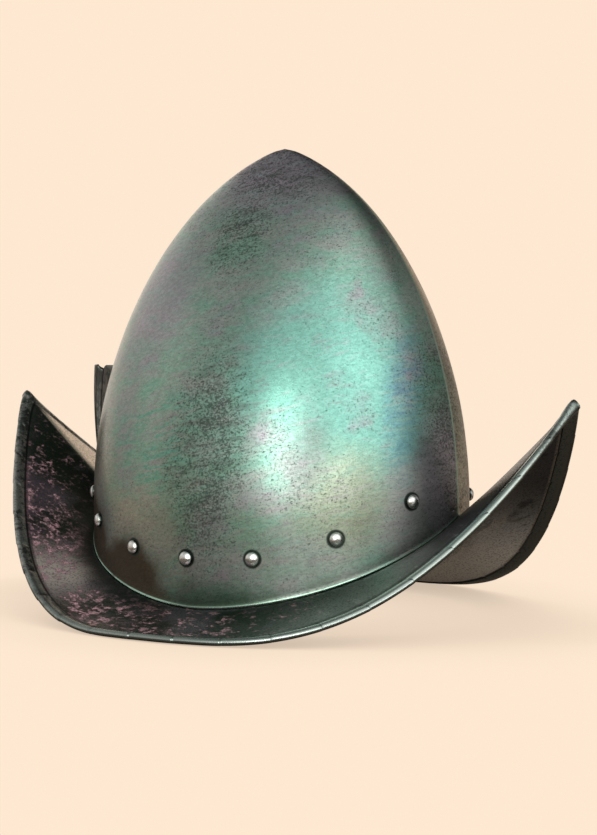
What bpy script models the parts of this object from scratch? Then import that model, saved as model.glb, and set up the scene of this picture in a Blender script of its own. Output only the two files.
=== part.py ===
# Morion helmet: a tall keeled skull of sheet steel, a boat-shaped brim with a rolled edge,
# a row of domed rivets round the base and a plume holder on the rear ridge.
# Metres. +X is the front, +Y the wearer's left, +Z up. The origin lies on the floor that the
# brim rests on, midway between the tips of the two peaks.

import math

import bmesh
import bpy
from mathutils import Matrix, Vector

# Clearance
GAP = 0.00035              # between pieces that lie face to face
COLLAR_GAP = 0.00045       # between the skull and the collar lapped inside it

# Skull
SKULL_LENGTH = 0.226       # outside, from the front ridge to the rear ridge
SKULL_WIDTH = 0.1893       # outside
SKULL_TOP = 0.2626         # height of the point above the floor
GIRTH_HEIGHT = 0.062       # the walls are upright below this
SKULL_WALL = 0.0015
POINT_FORWARD = 0.0037     # the point stands this far ahead of the middle
POINT_FALL = 0.0212        # how fast the outline falls away from the point
POINT_REACH_ALONG = 0.62   # length of that fall, as a share of the half length
POINT_REACH_ACROSS = 0.18  # and as a share of the half width
FLANK_RISE = 0.095         # how far the outline keeps upright above the girth
KEEL_RISE = 0.002          # height of the ridge at front and rear
KEEL_SPREAD = math.radians(42)

# Joint between skull and brim: its height at the sides, front and rear
JOINT_SIDE = 0.0119
JOINT_FRONT = 0.0585
JOINT_REAR = 0.0585
JOINT_POWER_FRONT = 0.92
JOINT_POWER_REAR = 0.80

# Brim
BRIM_LENGTH = 0.366
BRIM_WIDTH = 0.2757
BRIM_WALL = 0.0013
PEAK_FRONT = 0.1237        # height of the tips
PEAK_REAR = 0.1206
FLAT_SHARE_FRONT = 0.06    # share of the half length along which the edge lies on the floor
FLAT_SHARE_REAR = 0.13
RISE_POWER_FRONT = 3.22    # the edge's climb from there to the tip
RISE_POWER_REAR = 2.39
PLAN_POWER_FRONT = 2.11    # roundness of the edge seen from above
PLAN_POWER_REAR = 2.45
PLAN_POINT_FRONT = 0.93    # sharpness of the tips seen from above
PLAN_POINT_REAR = 1.00
HOLLOW_SIDE = 0.0012       # depth of the brim's hollow between joint and edge
HOLLOW_FRONT = 0.0016
HOLLOW_REAR = 0.0010
ROLL_WIDTH = 0.0066        # the rolled edge, a flattened roll
ROLL_THICKNESS = 0.0040
SHARPEST_ROLL = 0.55       # limits how far the roll is drawn out at the tips
NEAR_TIP = math.radians(4) # closer to a tip than this, the roll keeps its direction
LEAN_FROM = 0.13           # the roll starts to lean with the plate at this share of the half length
LEAN_SHARE = 0.60          # and leans fully at this one
COLLAR_ABOVE_RIVETS = 0.0065

# Rivets
RIVET_ABOVE_JOINT_SIDE = 0.0267
RIVET_ABOVE_JOINT_FRONT = 0.0187
RIVET_ABOVE_JOINT_REAR = 0.0119
RIVET_POWER_FRONT = 2.93
RIVET_POWER_REAR = 2.36
# degrees round from the front, the wearer's left counted positive
RIVET_ANGLES = (-157, -134.6, -111.6, -91.4, -71.4, -47.6, -22.7, 27, 50, 72, 92, 112.5, 135, 157.5)
RIVET_HEAD_RADIUS = 0.0039
RIVET_HEAD_RISE = 0.0030
DOME = ((0.86, 0.58), (0.48, 0.91))  # rings of the dome: share of the radius, share of the rise
RIVET_SHANK_RADIUS = 0.0018
RIVET_TAIL_RADIUS = 0.0030
RIVET_TAIL_THICKNESS = 0.0014
HOLE_CLEARANCE = 0.00035
DRILL_OUTSIDE = 0.006      # how far the drill reaches each way from the skull's face
DRILL_INSIDE = 0.008

# Plume holder, placed from the rivet through its strap
HEEL_ABOVE_RIVET = 0.0156  # underside of the socket
HOLDER_LENGTH = 0.05150
HOLDER_DEPTH_MOUTH = 0.0235
HOLDER_DEPTH_HEEL = 0.0135
HOLDER_HALF_WIDTH_MOUTH = 0.0100
HOLDER_HALF_WIDTH_HEEL = 0.0062
HOLDER_WALL = 0.0014
HOLDER_FLOOR = 0.0030
SEAT_SHARE = 0.72          # flattens the side that lies on the ridge, 1 leaves it round
GROOVE_DEPTH = 0.26        # the side grooves, as a share of the half width
GROOVE_PLACE = -0.20        # where they run between skull and back, as a share of the half depth
GROOVE_SPREAD = 0.30
MOUTH_NOTCH = 0.0032       # how far the mouth dips at each groove
STRAP_WIDTH = 0.0120
STRAP_ABOVE_JOINT = 0.0040 # free height between the brim and the strap
STRAP_LAP = 0.0060         # how far the strap runs up into the socket's seat
UPPER_RIVET_ABOVE_HEEL = 0.0260
RIVET_LOW_RISE = 0.0016    # the heads in the socket and on the strap are flatter
FOLD_RELIEF = 0.0006       # their tails stand this far off the fold inside the ridge

# Fineness of the faceted solids
STATIONS = 56              # round the helmet
SKULL_ROWS = 15
SKULL_ROW_POWER = 1.25     # gathers the rows towards the point
RIVET_SIDES = 10
PLATE_STEPS = (0.0, 0.10, 0.28, 0.48, 0.68, 0.86)
ROLL_SIDES = 8
SOCKET_SIDES = 28
SOCKET_ROWS = 6

HALF_TURN = math.pi
STEP = 1e-4                # for slopes taken by differences

UP = Vector((0, 0, 1))


def clear_scene():
    for obj in list(bpy.data.objects):
        bpy.data.objects.remove(obj)


def steel(name, colour, roughness):
    material = bpy.data.materials.new(name)
    material.use_nodes = True
    shader = material.node_tree.nodes["Principled BSDF"]
    shader.inputs["Base Color"].default_value = (*colour, 1)
    shader.inputs["Metallic"].default_value = 1.0
    shader.inputs["Roughness"].default_value = roughness
    return material


def finish_object(name, bm, material, smooth_angle=35):
    """Turns a bmesh into a shaded object of that name."""
    bmesh.ops.recalc_face_normals(bm, faces=bm.faces)
    mesh = bpy.data.meshes.new(name)
    bm.to_mesh(mesh)
    bm.free()
    mesh.materials.append(material)
    mesh.shade_smooth()
    mesh.set_sharp_from_angle(angle=math.radians(smooth_angle))
    obj = bpy.data.objects.new(name, mesh)
    bpy.context.scene.collection.objects.link(obj)
    return obj


def make_cutter(obj):
    obj.hide_render = True
    obj.display_type = "WIRE"
    return obj


def cut(obj, cutter, operation="DIFFERENCE"):
    modifier = obj.modifiers.new("cut", "BOOLEAN")
    modifier.operation = operation
    modifier.solver = "EXACT"
    modifier.object = cutter


def bezier(a, b, c, d, t):
    s = 1 - t
    return a * s**3 + 3 * b * t * s**2 + 3 * c * t**2 * s + d * t**3


def towards_peak(angle, side, front, rear, share):
    """A value that is side at the flanks and changes to front or rear by that share."""
    end = front if math.cos(angle) > 0 else rear
    return side + (end - side) * share


# Skull: its shape comes from one curve up the ridge and one up the flank

def skull_shares(z):
    """The skull's half length and half width at height z, as shares of the largest."""
    if z <= GIRTH_HEIGHT:
        return 1.0, 1.0
    low, high = 0.0, 1.0
    for _ in range(40):
        t = (low + high) / 2
        height = bezier(
            SKULL_TOP, SKULL_TOP - POINT_FALL, GIRTH_HEIGHT + FLANK_RISE, GIRTH_HEIGHT, t
        )
        low, high = (t, high) if height > z else (low, t)
    return bezier(0, POINT_REACH_ALONG, 1, 1, low), bezier(0, POINT_REACH_ACROSS, 1, 1, low)


def skull_point(z, angle):
    along, across = skull_shares(z)
    from_ridge = abs(math.remainder(angle, HALF_TURN))
    keel = KEEL_RISE * along * max(0.0, 1 - from_ridge / KEEL_SPREAD) ** 2
    x = (SKULL_LENGTH / 2 - KEEL_RISE) * along * math.cos(angle)
    x += math.copysign(keel, math.cos(angle)) + POINT_FORWARD * (1 - along)
    return Vector((x, SKULL_WIDTH / 2 * across * math.sin(angle), z))


def skull_normal(z, angle):
    round_it = skull_point(z, angle + STEP) - skull_point(z, angle - STEP)
    up_it = skull_point(z + STEP / 2, angle) - skull_point(z - STEP / 2, angle)
    return round_it.cross(up_it).normalized()


def under_skull(z, angle, depth):
    """The point that lies depth inside the skull's outer face."""
    return skull_point(z, angle) - depth * skull_normal(z, angle)


def joint_height(angle):
    power = JOINT_POWER_FRONT if math.cos(angle) > 0 else JOINT_POWER_REAR
    share = (1 - abs(math.sin(angle))) ** power
    return towards_peak(angle, JOINT_SIDE, JOINT_FRONT, JOINT_REAR, share)


def rivet_height(angle):
    side = JOINT_SIDE + RIVET_ABOVE_JOINT_SIDE
    front = JOINT_FRONT + RIVET_ABOVE_JOINT_FRONT
    rear = JOINT_REAR + RIVET_ABOVE_JOINT_REAR
    power = RIVET_POWER_FRONT if math.cos(angle) > 0 else RIVET_POWER_REAR
    return towards_peak(angle, side, front, rear, abs(math.cos(angle)) ** power)


def station_angles():
    return [2 * HALF_TURN * i / STATIONS for i in range(STATIONS)]


def bridge(bm, ring, following):
    """Faces between two closed rings of as many points."""
    for i in range(len(ring)):
        j = (i + 1) % len(ring)
        bm.faces.new((ring[i], ring[j], following[j], following[i]))


def close_with_point(bm, ring, tip):
    for i in range(len(ring)):
        bm.faces.new((ring[i], ring[(i + 1) % len(ring)], tip))


def make_skull(material):
    bm = bmesh.new()
    shells = []
    for depth in (0, SKULL_WALL):
        rings = []
        for row in range(SKULL_ROWS):
            share = 1 - (1 - row / SKULL_ROWS) ** SKULL_ROW_POWER
            ring = []
            for angle in station_angles():
                bottom = joint_height(angle)
                z = bottom + (SKULL_TOP - bottom) * share
                ring.append(bm.verts.new(under_skull(z, angle, depth)))
            rings.append(ring)
        for ring, following in zip(rings, rings[1:]):
            bridge(bm, ring, following)
        slope = math.atan2(POINT_FALL, POINT_REACH_ACROSS * SKULL_WIDTH / 2)
        tip = bm.verts.new((POINT_FORWARD, 0, SKULL_TOP - depth / math.cos(slope)))
        close_with_point(bm, rings[-1], tip)
        shells.append(rings[0])
    bridge(bm, *shells)
    return finish_object("skull", bm, material)


# Brim: for each station round the helmet, one closed outline of collar, plate and roll

def edge_point(angle):
    """The outer line of the brim's edge."""
    front = math.cos(angle) > 0
    along = abs(math.cos(angle))
    rise_power = RISE_POWER_FRONT if front else RISE_POWER_REAR
    plan_power = PLAN_POWER_FRONT if front else PLAN_POWER_REAR
    plan_point = PLAN_POINT_FRONT if front else PLAN_POINT_REAR
    height = PEAK_FRONT if front else PEAK_REAR
    flat = FLAT_SHARE_FRONT if front else FLAT_SHARE_REAR
    rise = max(0.0, (along - flat) / (1 - flat)) ** rise_power
    across = max(0.0, 1 - along**plan_power) ** plan_point
    return Vector(
        (
            BRIM_LENGTH / 2 * math.cos(angle),
            math.copysign(BRIM_WIDTH / 2 * across, math.sin(angle)),
            height * rise,
        )
    )


def plate_start(angle):
    """The middle of the plate straight under the skull's outer face."""
    z = joint_height(angle)
    return skull_point(z, angle) - (GAP + BRIM_WALL / 2) * UP


def roll_frame(angle):
    """Centre, outward and upward half axes of the rolled edge at a station."""
    edge = edge_point(angle)
    outward = (edge - plate_start(angle)).normalized()
    aside = math.remainder(angle, HALF_TURN)
    clear = math.copysign(max(abs(aside), NEAR_TIP), aside)
    near = angle - aside + clear
    along = (edge_point(near + STEP) - edge_point(near - STEP)).normalized()
    sharpness = max(along.cross(outward).length, SHARPEST_ROLL)
    level = outward.copy()
    level.z = 0
    lean = (abs(math.cos(angle)) - LEAN_FROM) / (LEAN_SHARE - LEAN_FROM)
    share = min(1.0, max(0.0, lean))
    direction = level.normalized().lerp(outward, share).normalized()
    across = plate_normal_at_edge(angle, direction, share)
    half_width = ROLL_WIDTH / 2 / sharpness
    foot = ROLL_THICKNESS / 2 * math.cos(HALF_TURN / ROLL_SIDES)
    centre = edge - half_width * direction + foot * (1 - share) * UP
    return centre, half_width * direction, ROLL_THICKNESS / 2 * across


def plate_normal_at_edge(angle, direction, share):
    """Square to direction, leaning with the plate by share and upright where the brim rests."""
    around = edge_point(angle + STEP) - edge_point(angle - STEP)
    if around.length < STEP * STEP:
        around = Vector((0, math.copysign(1, math.cos(angle)), 0))
    leaning = around.cross(direction).normalized()
    if leaning.z < 0:
        leaning.negate()
    upright = (UP - direction * direction.z).normalized()
    blended = upright.lerp(leaning, share)
    return (blended - direction * blended.dot(direction)).normalized()


def plate_middle(angle, share):
    """The middle of the plate, share of the way from the joint to the roll."""
    start = plate_start(angle)
    centre = roll_frame(angle)[0]
    hollow_share = math.cos(angle) ** 2
    hollow = towards_peak(angle, HOLLOW_SIDE, HOLLOW_FRONT, HOLLOW_REAR, hollow_share)
    return start.lerp(centre, share) - 4 * hollow * share * (1 - share) * UP


def plate_normal(angle, share):
    if share == 0:
        return UP
    around = plate_middle(angle + STEP, share) - plate_middle(angle - STEP, share)
    outward = plate_middle(angle, share + STEP) - plate_middle(angle, share - STEP)
    return outward.cross(around).normalized()


def collar_point(z, angle, depth, drop=0):
    return under_skull(z, angle, SKULL_WALL + COLLAR_GAP + depth) - drop * UP


def brim_outline(angle):
    """The closed outline at one station: collar, top of the plate, roll, underside, collar."""
    joint, rivet = joint_height(angle), rivet_height(angle)
    collar_rows = (rivet + COLLAR_ABOVE_RIVETS, (rivet + joint) / 2 + COLLAR_ABOVE_RIVETS / 2)
    outline = [collar_point(z, angle, 0) for z in collar_rows]
    outline.append(collar_point(joint, angle, 0, GAP))
    half = BRIM_WALL / 2
    middles = [(plate_middle(angle, s), plate_normal(angle, s)) for s in PLATE_STEPS]
    outline += [middle + half * normal for middle, normal in middles]
    centre, across, up = roll_frame(angle)
    for i in range(ROLL_SIDES):
        turn = HALF_TURN - (2 * i + 1) * HALF_TURN / ROLL_SIDES
        outline.append(centre + math.cos(turn) * across + math.sin(turn) * up)
    outline += [middle - half * normal for middle, normal in reversed(middles)]
    outline.append(collar_point(joint, angle, BRIM_WALL, GAP + BRIM_WALL))
    outline += [collar_point(z, angle, BRIM_WALL) for z in reversed(collar_rows)]
    return outline


def make_brim(material):
    bm = bmesh.new()
    loops = [[bm.verts.new(p) for p in brim_outline(angle)] for angle in station_angles()]
    for loop, following in zip(loops, loops[1:] + loops[:1]):
        bridge(bm, loop, following)
    return finish_object("brim", bm, material)


# Rivets: turned solids with a domed head, a shank and a hammered tail

def on_skull(z, angle):
    """A placing whose Z axis points out of the skull at that point."""
    turn = skull_normal(z, angle).to_track_quat("Z", "Y")
    return Matrix.Translation(skull_point(z, angle)) @ turn.to_matrix().to_4x4()


def turned(bm, profile, sides, placing):
    """A solid turned about Z. The profile's first and last points lie on the axis."""
    rings = []
    for radius, z in profile[1:-1]:
        ring = []
        for i in range(sides):
            turn = 2 * HALF_TURN * i / sides
            point = Vector((radius * math.cos(turn), radius * math.sin(turn), z))
            ring.append(bm.verts.new(placing @ point))
        rings.append(ring)
    for ring, following in zip(rings, rings[1:]):
        bridge(bm, ring, following)
    for (_, z), ring in ((profile[0], rings[0]), (profile[-1], rings[-1])):
        close_with_point(bm, ring, bm.verts.new(placing @ Vector((0, 0, z))))


def rivet_profile(seat, grip, rise):
    """The head sits at height seat and the tail lies grip below the skull's outer face."""
    tail = -grip - RIVET_TAIL_THICKNESS
    return (
        (0, tail),
        (RIVET_TAIL_RADIUS, tail),
        (RIVET_TAIL_RADIUS, -grip),
        (RIVET_SHANK_RADIUS, -grip),
        (RIVET_SHANK_RADIUS, seat),
        (RIVET_HEAD_RADIUS, seat),
        *((RIVET_HEAD_RADIUS * across, seat + rise * up) for across, up in DOME),
        (0, seat + rise),
    )


def make_rivet(name, z, angle, seat, grip, rise, material):
    bm = bmesh.new()
    turned(bm, rivet_profile(seat, grip, rise), RIVET_SIDES, on_skull(z, angle))
    return finish_object(name, bm, material, 50)


def make_drill(places):
    """One cutter holding a drill for each rivet."""
    bm = bmesh.new()
    radius = RIVET_SHANK_RADIUS + HOLE_CLEARANCE
    profile = ((0, -DRILL_INSIDE), (radius, -DRILL_INSIDE), (radius, DRILL_OUTSIDE), (0, DRILL_OUTSIDE))
    for z, angle in places:
        turned(bm, profile, RIVET_SIDES, on_skull(z, angle))
    return make_cutter(finish_object("drill", bm, bpy.data.materials["guide"]))


# Plume holder: a grooved, tapered socket on a strap that runs down the rear ridge

def ridge_x(z):
    return skull_point(z, HALF_TURN).x


def heel_height():
    return rivet_height(HALF_TURN) + HEEL_ABOVE_RIVET


def taper(z, at_heel, at_mouth):
    return at_heel + (at_mouth - at_heel) * (z - heel_height()) / HOLDER_LENGTH


def socket_ring(z, inset, top=False):
    """One ring of the socket, inset from its outer face. The mouth dips at the grooves."""
    half_width = taper(z, HOLDER_HALF_WIDTH_HEEL, HOLDER_HALF_WIDTH_MOUTH)
    front = ridge_x(z) - GAP - inset
    back = ridge_x(z) - taper(z, HOLDER_DEPTH_HEEL, HOLDER_DEPTH_MOUTH) + inset
    middle, half_depth = (front + back) / 2, (front - back) / 2
    ring = []
    for i in range(SOCKET_SIDES):
        turn = 2 * HALF_TURN * i / SOCKET_SIDES
        nearness = max(0.0, 1 - abs(math.cos(turn) - GROOVE_PLACE) / GROOVE_SPREAD)
        width = (half_width - inset) * (1 - GROOVE_DEPTH * nearness)
        dip = MOUTH_NOTCH * nearness if top else 0
        reach = half_depth * min(1.0, max(math.cos(turn), math.cos(turn) / SEAT_SHARE))
        ring.append(Vector((middle + reach, width * math.sin(turn), z - dip)))
    return ring


def loft(name, rings, material):
    """A closed body through rings of as many points."""
    bm = bmesh.new()
    rings = [[bm.verts.new(p) for p in ring] for ring in rings]
    for ring, following in zip(rings, rings[1:]):
        bridge(bm, ring, following)
    bm.faces.new(rings[0])
    bm.faces.new(rings[-1])
    return finish_object(name, bm, material)


def socket_rings(bottom, inset):
    """Rings from the height bottom to just under the mouth."""
    rise = (heel_height() + HOLDER_LENGTH - bottom) / SOCKET_ROWS
    return [socket_ring(bottom + rise * i, inset) for i in range(SOCKET_ROWS)]


def make_strap():
    """The foot of the holder, which runs down the rear ridge from the socket."""
    rings = []
    half = STRAP_WIDTH / 2
    heel = heel_height()
    for z in (JOINT_REAR + STRAP_ABOVE_JOINT, heel, heel + STRAP_LAP):
        front = ridge_x(z) - GAP
        back = front - HOLDER_WALL
        rings.append([(front, half, z), (front, -half, z), (back, -half, z), (back, half, z)])
    return make_cutter(loft("strap", rings, bpy.data.materials["guide"]))


def make_hollow():
    """The inside of the socket, run on straight up past the mouth."""
    mouth = heel_height() + HOLDER_LENGTH
    rings = socket_rings(heel_height() + HOLDER_FLOOR, HOLDER_WALL)
    last = socket_ring(mouth, HOLDER_WALL)
    rings += [last, [p + HOLDER_FLOOR * UP for p in last]]
    return make_cutter(loft("hollow", rings, bpy.data.materials["guide"]))


def make_plume_holder(drill, material):
    heel = heel_height()
    rings = socket_rings(heel, 0) + [socket_ring(heel + HOLDER_LENGTH, 0, True)]
    holder = loft("plume_holder", rings, material)
    cut(holder, make_strap(), "UNION")
    cut(holder, make_hollow())
    cut(holder, drill)
    return holder


def main():
    clear_scene()
    patina = steel("patinated_steel", (0.16, 0.21, 0.18), 0.34)
    dark = steel("dark_steel", (0.07, 0.07, 0.07), 0.38)
    bright = steel("bright_steel", (0.34, 0.35, 0.34), 0.28)
    bpy.data.materials.new("guide")

    row = [(rivet_height(math.radians(a)), math.radians(a)) for a in RIVET_ANGLES]
    strap_place = (rivet_height(HALF_TURN), HALF_TURN)
    upper_place = (heel_height() + UPPER_RIVET_ABOVE_HEEL, HALF_TURN)
    drill = make_drill([*row, strap_place, upper_place])

    skull = make_skull(patina)
    cut(skull, drill)
    brim = make_brim(dark)
    cut(brim, drill)

    through_skull = SKULL_WALL + GAP
    through_collar = SKULL_WALL + COLLAR_GAP + BRIM_WALL + GAP
    for i, (z, angle) in enumerate(row):
        make_rivet(f"rivet_{i + 1:02d}", z, angle, GAP, through_collar, RIVET_HEAD_RISE, bright)
    make_plume_holder(drill, dark)
    seat = GAP + HOLDER_WALL + GAP
    lower_grip, upper_grip = through_collar + FOLD_RELIEF, through_skull + FOLD_RELIEF
    make_rivet("plume_rivet_lower", *strap_place, seat, lower_grip, RIVET_LOW_RISE, bright)
    make_rivet("plume_rivet_upper", *upper_place, seat, upper_grip, RIVET_LOW_RISE, bright)


main()
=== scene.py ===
# Morion helmet of hand-raised steel sheet with a worn blue-green patina, standing on a pale
# studio floor. The file goes from the view to the skull, the brim, the rivets, the plume holder
# and the studio. Metres, +X the front, +Y the wearer's left, +Z up.

import math

import bmesh
import bpy
from mathutils import Matrix, Vector, noise


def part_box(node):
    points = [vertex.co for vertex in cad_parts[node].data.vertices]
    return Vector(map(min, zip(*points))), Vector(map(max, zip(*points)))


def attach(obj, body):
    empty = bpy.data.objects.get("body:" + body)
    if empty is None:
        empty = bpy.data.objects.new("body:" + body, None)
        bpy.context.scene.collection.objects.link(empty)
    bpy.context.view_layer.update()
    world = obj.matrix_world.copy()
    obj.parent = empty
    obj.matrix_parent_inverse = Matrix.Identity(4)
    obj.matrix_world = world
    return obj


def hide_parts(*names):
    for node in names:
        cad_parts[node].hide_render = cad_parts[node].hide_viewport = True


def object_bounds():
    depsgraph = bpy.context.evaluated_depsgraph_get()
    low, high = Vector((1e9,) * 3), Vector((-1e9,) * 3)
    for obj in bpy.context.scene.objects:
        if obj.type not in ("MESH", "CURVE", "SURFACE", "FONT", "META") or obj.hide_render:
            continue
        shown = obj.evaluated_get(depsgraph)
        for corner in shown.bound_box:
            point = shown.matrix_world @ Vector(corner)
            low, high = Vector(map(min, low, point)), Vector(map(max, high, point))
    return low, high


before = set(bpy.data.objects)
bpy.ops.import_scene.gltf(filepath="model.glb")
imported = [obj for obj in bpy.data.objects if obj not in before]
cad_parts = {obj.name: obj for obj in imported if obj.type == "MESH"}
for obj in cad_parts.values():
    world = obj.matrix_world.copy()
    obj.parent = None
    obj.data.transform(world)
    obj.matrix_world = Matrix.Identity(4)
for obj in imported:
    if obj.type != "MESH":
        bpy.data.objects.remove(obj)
cad_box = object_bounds()

# The view
# The photographer stood to the right of the helmet and a little ahead of it, a good arm's
# length and a half away, with the lens just above the height of the rivets.
VIEW_TURN = math.radians(29.54)
VIEW_RISE = math.radians(3.37)
VIEW_DISTANCE = 1.147
AIM_ASIDE = 0.0110
AIM_HEIGHT = 0.1090
LENS = 86.5

to_right = Vector((math.cos(VIEW_TURN), math.sin(VIEW_TURN), 0))
to_viewer = Vector(
    (
        math.sin(VIEW_TURN) * math.cos(VIEW_RISE),
        -math.cos(VIEW_TURN) * math.cos(VIEW_RISE),
        math.sin(VIEW_RISE),
    )
)
aim = AIM_ASIDE * to_right + Vector((0, 0, AIM_HEIGHT))
camera = bpy.data.objects.new("camera", bpy.data.cameras.new("camera"))
camera.data.lens = LENS
camera.data.clip_start = 0.05
camera.location = aim + VIEW_DISTANCE * to_viewer
camera.rotation_euler = to_viewer.to_track_quat("Z", "Y").to_euler()
bpy.context.scene.collection.objects.link(camera)
bpy.context.scene.camera = camera

# The skull
# The bowl is one sheet of steel, raised over a stake with a hammer and planished, so that its
# reflections wander a little. A low ridge runs up the front and the rear to the point, and the
# lower rim is filed round where it meets the brim.
SKULL_LOW, SKULL_HIGH = (Vector(corner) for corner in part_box("skull"))
SKULL_WALL = 0.0015
GIRTH_HEIGHT = 0.062       # the walls are upright below this
POINT_FORWARD = 0.0037
POINT_FALL = 0.0212
POINT_REACH_ALONG = 0.62
POINT_REACH_ACROSS = 0.18
FLANK_RISE = 0.095
KEEL_RISE = 0.002
KEEL_SPREAD = math.radians(42)
JOINT_SIDE = SKULL_LOW.z   # height of the lower rim at the sides, front and rear
JOINT_FRONT = 0.0585
JOINT_REAR = 0.0585
JOINT_POWER_FRONT = 0.92
JOINT_POWER_REAR = 0.80
HAMMER_DEPTH = 0.00032     # of the broad waves that the hammer left
HAMMER_WAVE = 0.034
PLANISH_DEPTH = 0.00006    # of the small ones
PLANISH_WAVE = 0.011
SKULL_STATIONS = 264
SKULL_ROWS = 78            # from the point down to the girth
WALL_ROWS = 22             # from there to the rim
RIM_ROWS = 7
RIM_CLOSE_ROWS = (0.0045, 0.0028, 0.0016, 0.0008)
RIM_FLARE = 0.00080        # how far the filed rim stands out
RIM_FLARE_HEIGHT = 0.0021
TIP_SINK = 0.0009          # the point is hammered blunt
TIP_SPREAD = 0.0050
STEP = 1e-4
UP = Vector((0, 0, 1))


def bezier(a, b, c, d, t):
    s = 1 - t
    return a * s**3 + 3 * b * t * s**2 + 3 * c * t**2 * s + d * t**3


def towards_peak(angle, side, front, rear, share):
    """A value that is side at the flanks and changes to front or rear by that share."""
    end = front if math.cos(angle) > 0 else rear
    return side + (end - side) * share


def joint_height(angle):
    power = JOINT_POWER_FRONT if math.cos(angle) > 0 else JOINT_POWER_REAR
    share = (1 - abs(math.sin(angle))) ** power
    return towards_peak(angle, JOINT_SIDE, JOINT_FRONT, JOINT_REAR, share)


def skull_height(t):
    top = SKULL_HIGH.z
    return bezier(top, top - POINT_FALL, GIRTH_HEIGHT + FLANK_RISE, GIRTH_HEIGHT, min(t, 1))


def skull_point(t, angle, z=None):
    """The outer face. t is 0 at the point and 1 at the girth, and z is given below that."""
    u = min(t, 1)
    along = bezier(0, POINT_REACH_ALONG, 1, 1, u)
    across = bezier(0, POINT_REACH_ACROSS, 1, 1, u)
    from_ridge = abs(math.remainder(angle, math.pi))
    keel = KEEL_RISE * along * max(0.0, 1 - from_ridge / KEEL_SPREAD) ** 2
    x = (SKULL_HIGH.x - KEEL_RISE) * along * math.cos(angle)
    x += math.copysign(keel, math.cos(angle)) + POINT_FORWARD * (1 - along)
    return Vector((x, SKULL_HIGH.y * across * math.sin(angle), skull_height(t) if z is None else z))


def skull_normal(t, angle):
    round_it = skull_point(t, angle + STEP) - skull_point(t, angle - STEP)
    if t >= 1:
        return round_it.cross(UP).normalized()
    up_it = skull_point(t - STEP, angle) - skull_point(t + STEP, angle)
    return round_it.cross(up_it).normalized()


def share_at_height(z):
    """The t of skull_point that lies at height z."""
    low, high = 0.0, 1.0
    while high - low > STEP / 10:
        middle = (low + high) / 2
        low, high = (middle, high) if skull_height(middle) > z else (low, middle)
    return high


def hammered(point):
    """How deep the hammer's waves lie under the fair surface at a point."""
    broad = 0.5 + 0.5 * noise.noise(point / HAMMER_WAVE)
    small = 0.5 + 0.5 * noise.noise(point / PLANISH_WAVE)
    return HAMMER_DEPTH * broad + PLANISH_DEPTH * small


def ridged_stations(count):
    """Angles all round, with close ones beside the two ridges, which keep those crisp."""
    even = [2 * math.pi * i / count for i in range(count)]
    beside = [math.radians(d) for d in (-0.75, -0.28, 0.28, 0.75)]
    close = [ridge + d for ridge in (0, math.pi) for d in beside]
    return sorted(a % (2 * math.pi) for a in even + close)


def make_mesh(name, rings, closed_both_ways=False, tips=(), attributes=None):
    """A mesh through rings of as many points each. A tip closes the first or last ring."""
    count = len(rings[0])
    points = [p for ring in rings for p in ring]
    faces = []
    for r in range(len(rings) if closed_both_ways else len(rings) - 1):
        a, b = r * count, (r + 1) % len(rings) * count
        faces += [(a + i, a + (i + 1) % count, b + (i + 1) % count, b + i) for i in range(count)]
    for r, tip in tips:
        start = (r % len(rings)) * count
        faces += [(start + i, start + (i + 1) % count, len(points)) for i in range(count)]
        points.append(tip)
    mesh = bpy.data.meshes.new(name)
    mesh.from_pydata(points, [], faces)
    for attribute, values in (attributes or {}).items():
        values = list(values) + [values[-1]] * (len(points) - len(values))
        mesh.attributes.new(attribute, "FLOAT", "POINT").data.foreach_set("value", values)
    work = bmesh.new()
    work.from_mesh(mesh)
    bmesh.ops.recalc_face_normals(work, faces=work.faces)
    work.to_mesh(mesh)
    work.free()
    mesh.shade_smooth()
    piece = bpy.data.objects.new(name, mesh)
    bpy.context.scene.collection.objects.link(piece)
    return piece


def skull_column(angle):
    """Points down the outer face, round the rim and up the inside, with height over the rim."""
    bottom = joint_height(angle)
    radius = SKULL_WALL / 2
    out, over, inside = [], [], []
    low_z = bottom + radius
    wall_z = [GIRTH_HEIGHT + (low_z - GIRTH_HEIGHT) * i / WALL_ROWS for i in range(1, WALL_ROWS)]
    wall_z = [z for z in wall_z if z > low_z + RIM_CLOSE_ROWS[0]]
    wall_z += [low_z + lift for lift in RIM_CLOSE_ROWS] + [low_z]
    while len(wall_z) < WALL_ROWS + len(RIM_CLOSE_ROWS):
        wall_z.insert(0, (GIRTH_HEIGHT + wall_z[0]) / 2)
    rows = [((row / SKULL_ROWS) ** 1.15, None) for row in range(1, SKULL_ROWS + 1)]
    rows += [(1.0, z) for z in wall_z]
    for t, z in rows:
        point, normal = skull_point(t, angle, z), skull_normal(t, angle)
        over_rim = max(point.z - bottom, 0)
        flare = RIM_FLARE * max(0, 1 - over_rim / RIM_FLARE_HEIGHT) ** 1.5
        from_tip = math.hypot(point.x - POINT_FORWARD, point.y)
        sink = TIP_SINK * math.exp(-((from_tip / TIP_SPREAD) ** 2))
        face = point + (flare - hammered(point)) * normal - sink * UP
        out.append(face)
        inside.append(face - SKULL_WALL * normal)
        over.append(over_rim)
    middle = (out[-1] + inside[-1]) / 2
    outward = (out[-1] - middle) / radius
    rim = []
    for i in range(1, RIM_ROWS):
        turn = math.pi * i / RIM_ROWS
        rim.append(middle + radius * (math.cos(turn) * outward - math.sin(turn) * UP))
    column = out + rim + inside[::-1]
    return column, over + [0] * len(rim) + over[::-1]


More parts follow.
